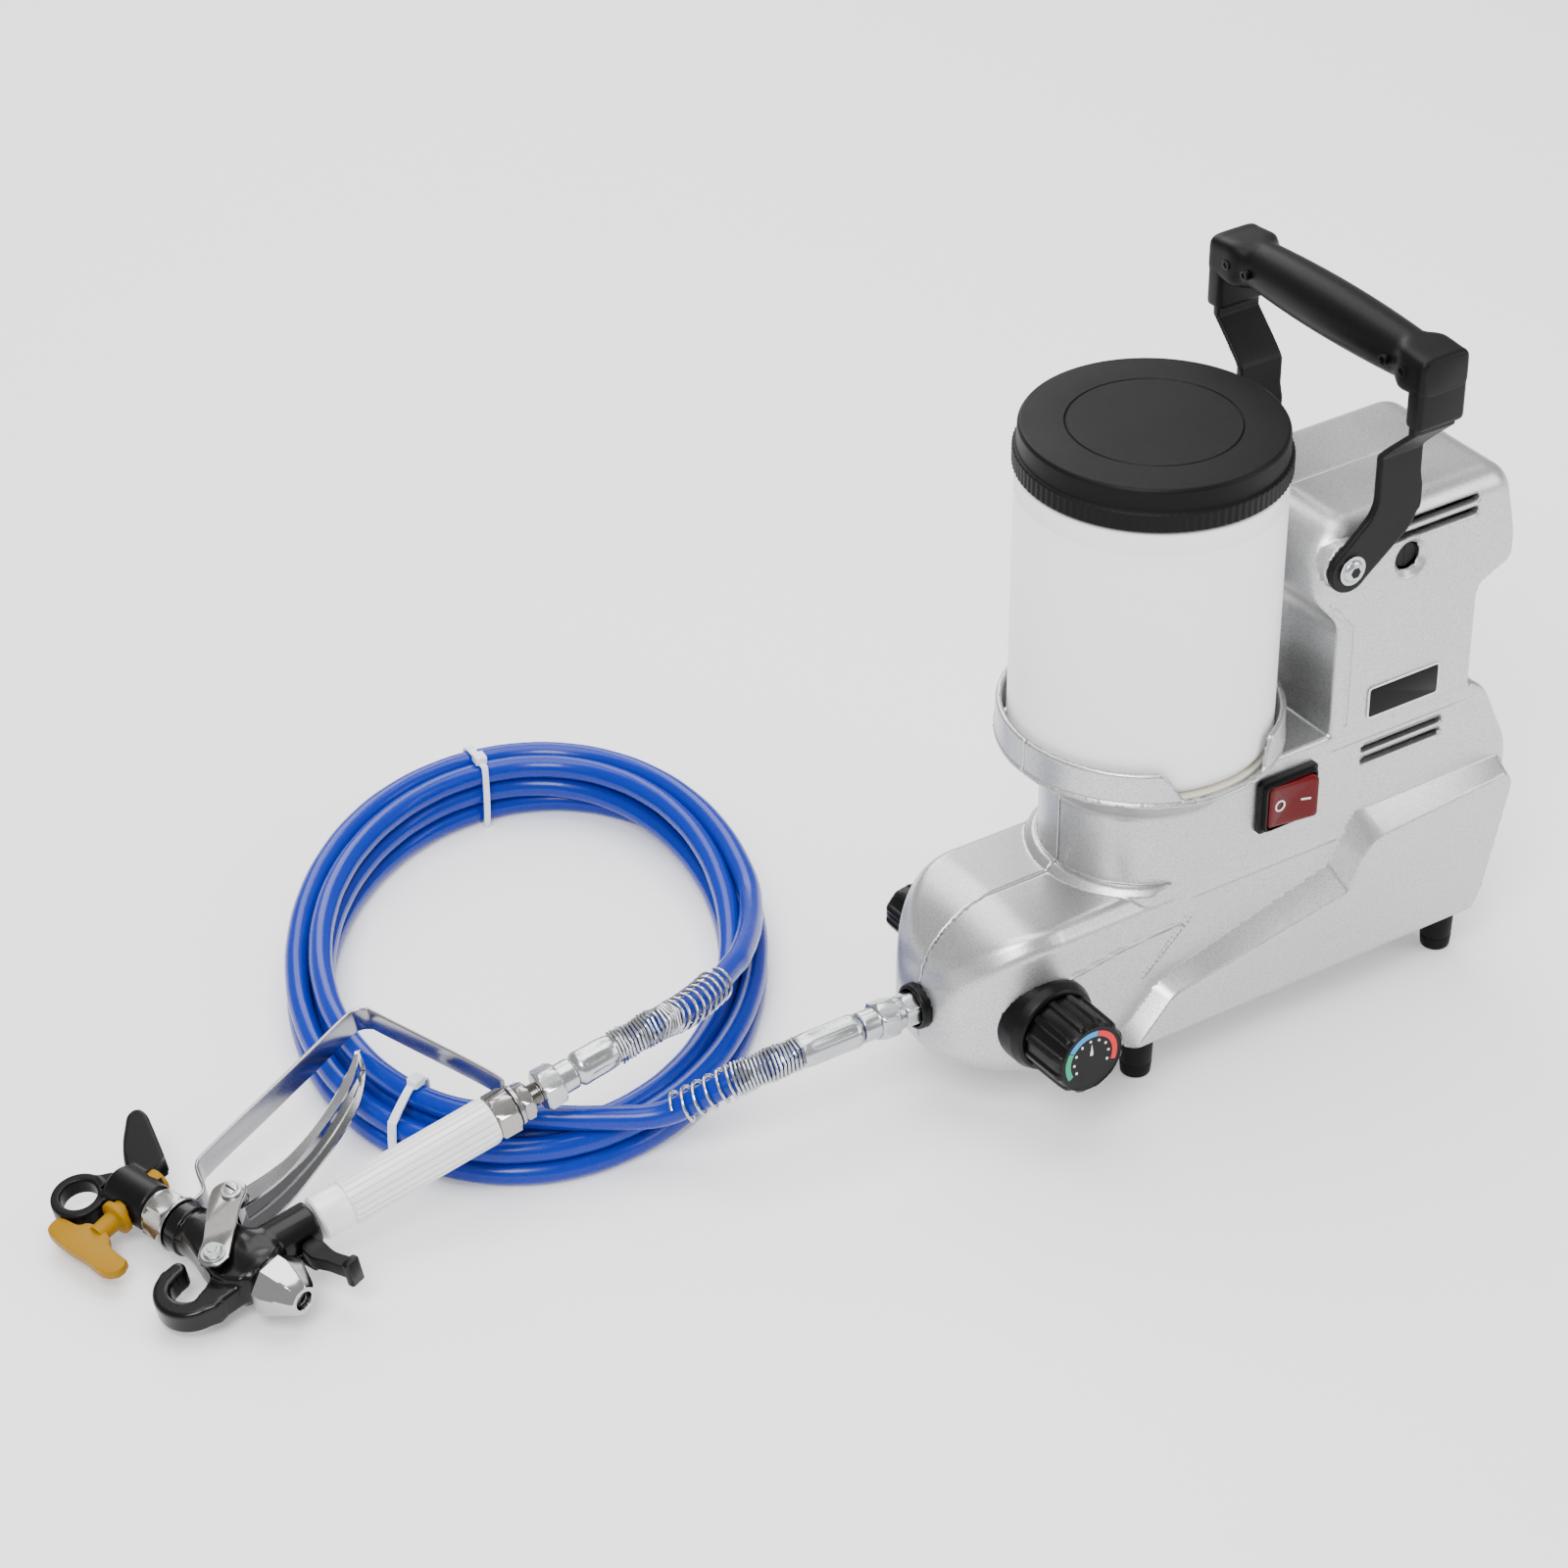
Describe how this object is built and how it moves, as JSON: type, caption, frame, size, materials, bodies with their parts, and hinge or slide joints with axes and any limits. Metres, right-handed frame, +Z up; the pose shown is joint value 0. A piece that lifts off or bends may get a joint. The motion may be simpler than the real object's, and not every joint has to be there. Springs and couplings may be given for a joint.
{
  "type": "airless paint sprayer",
  "caption": "Airless paint sprayer: silver motor housing on feet, white jar with black lid, folding carry handle, coiled blue hose and a spray gun lying on its side",
  "frame": {"origin": "on the floor under the middle of the machine and gun together, without the hose", "axes": "+X from the hose outlet to the back of the motor, +Y to the drain-knob side, +Z up"},
  "size_m": [0.8076, 0.4775, 0.4202],
  "materials": {
    "silver_paint": "satin silver paint with a fine speckle",
    "foot_rubber": "matt black rubber",
    "black_label": "blank satin black plate",
    "black_plastic": "moulded black plastic",
    "red_switch": "glossy red rocker",
    "zinc": "zinc-plated steel",
    "seal": "cream rubber seal",
    "jar_plastic": "translucent milky white plastic",
    "lid_plastic": "fine-grained black plastic",
    "inner_steel": "machined steel",
    "brass": "turned brass",
    "winding": "copper windings",
    "chrome": "polished chrome plate",
    "black_steel": "black powder-coated steel",
    "grip_plastic": "grained black grip",
    "blue_hose": "glossy blue hose cover",
    "white_nylon": "white nylon tie",
    "black_alloy": "glossy black coated forging",
    "white_alloy": "white satin coated tube with ribs",
    "gun_steel": "plated steel",
    "yellow_plastic": "moulded yellow plastic"
  },
  "bodies": {
    "root": {"casing_near": "silver_paint", "casing_far": "silver_paint", "foot_front_near": "foot_rubber", "foot_front_far": "foot_rubber", "foot_rear_near": "foot_rubber", "foot_rear_far": "foot_rubber", "rating_plate": "black_label", "switch_bezel": "black_plastic", "mains_gland": "foot_rubber", "outlet_fitting": "zinc", "pressure_knob_collar": "black_plastic", "jar_gasket": "seal", "jar": "jar_plastic", "strainer": "inner_steel", "pump_block": "inner_steel", "packing_nut": "brass", "inlet_funnel": "inner_steel", "stator": "inner_steel", "gearbox_plate": "inner_steel", "rotor_bearing": "chrome", "brush_holder_near": "black_plastic", "brush_holder_far": "black_plastic", "handle_screw_near": "zinc", "handle_screw_far": "zinc", "hose_nut": "zinc", "hose_ferrule": "zinc", "hose_lead_machine": "blue_hose", "bend_spring_machine": "chrome", "hose_coil": "blue_hose", "cable_tie_far": "white_nylon", "cable_tie_near": "white_nylon", "hose_lead_gun": "blue_hose", "bend_spring_gun": "chrome", "gun_swivel_nut": "zinc", "gun_ferrule": "zinc", "gun_body": "black_alloy", "gun_grip": "white_alloy", "grip_nuts": "gun_steel", "rear_cap": "chrome", "head_nut": "gun_steel", "trigger_pin": "zinc", "trigger_guard": "chrome", "tip_guard": "black_plastic"},
    "handle": {"handle_arm_near": "black_steel", "handle_arm_far": "black_steel", "handle_grip": "grip_plastic"},
    "pressure_dial": {"pressure_knob": "black_plastic"},
    "drain_dial": {"drain_knob": "black_plastic"},
    "rocker": {"switch_rocker": "red_switch"},
    "lid": {"jar_lid": "lid_plastic"},
    "rotor": {"rotor_shaft": "inner_steel", "armature": "winding", "cooling_fan": "black_plastic"},
    "crank": {"crank_gear": "inner_steel"},
    "piston_slider": {"piston": "inner_steel"},
    "trigger_lever": {"trigger": "chrome"},
    "needle_valve": {"needle": "gun_steel"},
    "lock_lever": {"trigger_lock": "lid_plastic"},
    "tip_selector": {"tip_key": "yellow_plastic"}
  },
  "joints": [
    {"name": "handle_fold", "type": "hinge", "parent": "root", "child": "handle", "pos_m": [0.2723, -0.0482, 0.287], "axis": [0, 1, 0], "range_deg": [-20, 55]},
    {"name": "pressure_knob_turn", "type": "hinge", "parent": "root", "child": "pressure_dial", "pos_m": [0.0903, -0.1382, 0.065], "axis": [0, -1, 0], "range_deg": [-135, 135]},
    {"name": "drain_knob_turn", "type": "hinge", "parent": "root", "child": "drain_dial", "pos_m": [0.0903, 0.0318, 0.065], "axis": [0, 1, 0], "range_deg": [0, 180]},
    {"name": "rocker_tilt", "type": "hinge", "parent": "root", "child": "rocker", "pos_m": [0.2443, -0.1031, 0.152], "axis": [0, 0, 1], "range_deg": [0, 10]},
    {"name": "lid_lift", "type": "slide", "parent": "root", "child": "lid", "axis": [0, 0, 1], "range_m": [0, 0.07]},
    {"name": "rotor_spin", "type": "hinge", "parent": "root", "child": "rotor", "pos_m": [0.3213, -0.0482, 0.126], "axis": [0, 0, 1], "continuous": true},
    {"name": "crank_spin", "type": "hinge", "parent": "root", "child": "crank", "pos_m": [0.27755, -0.0482, 0.126], "axis": [0, 0, 1], "continuous": true},
    {"name": "piston_slide", "type": "slide", "parent": "root", "child": "piston_slider", "axis": [1, 0, 0], "range_m": [-0.007, 0.007]},
    {"name": "trigger_pull", "type": "hinge", "parent": "root", "child": "trigger_lever", "pos_m": [-0.34828, 0.01058, 0.01979], "axis": [0.2146, 0.0554, -0.9751], "range_deg": [0, 18], "stiffness_Nm_per_rad": 1.5, "springref_deg": -14.32},
    {"name": "needle_slide", "type": "slide", "parent": "root", "child": "needle_valve", "axis": [0.2501, -0.9682, 0], "range_m": [0, 0.0036]},
    {"name": "lock_lever_turn", "type": "hinge", "parent": "root", "child": "lock_lever", "pos_m": [-0.30478, -0.00969, 0.02821], "axis": [0.2146, 0.0554, -0.9751], "range_deg": [-15, 20]},
    {"name": "tip_key_turn", "type": "hinge", "parent": "root", "child": "tip_selector", "pos_m": [-0.3557, 0.08612, 0.02245], "axis": [-0.9442, -0.2438, -0.2216], "range_deg": [0, 180]}
  ],
  "couplings": [
    {"joint": "crank_spin", "follows": "rotor_spin", "ratio": -0.16667},
    {"joint": "needle_slide", "follows": "trigger_pull", "m_per_rad": 0.011}
  ]
}
